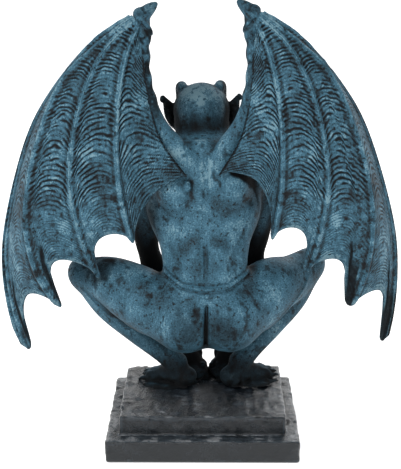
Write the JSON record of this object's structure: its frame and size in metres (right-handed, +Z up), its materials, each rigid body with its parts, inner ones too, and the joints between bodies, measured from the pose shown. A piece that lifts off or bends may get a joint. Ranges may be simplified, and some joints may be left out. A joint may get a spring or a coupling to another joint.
{
  "type": "gargoyle statue",
  "caption": "Table-top cast-resin gargoyle: a winged, horned figure crouching on a stepped slate-look plinth",
  "frame": {"origin": "centre of the plinth's underside", "axes": "+Z is up, the figure faces +Y and its right hand is towards +X"},
  "size_m": [0.3031, 0.1385, 0.3318],
  "materials": {
    "patina_resin": "black cast resin dry-brushed with a blue-green patina, satin, dark in every recess",
    "slate_resin": "charcoal grey cast resin with a tooled slate texture, satin"
  },
  "bodies": {
    "root": {"figure": "patina_resin", "plinth": "slate_resin"}
  },
  "joints": []
}
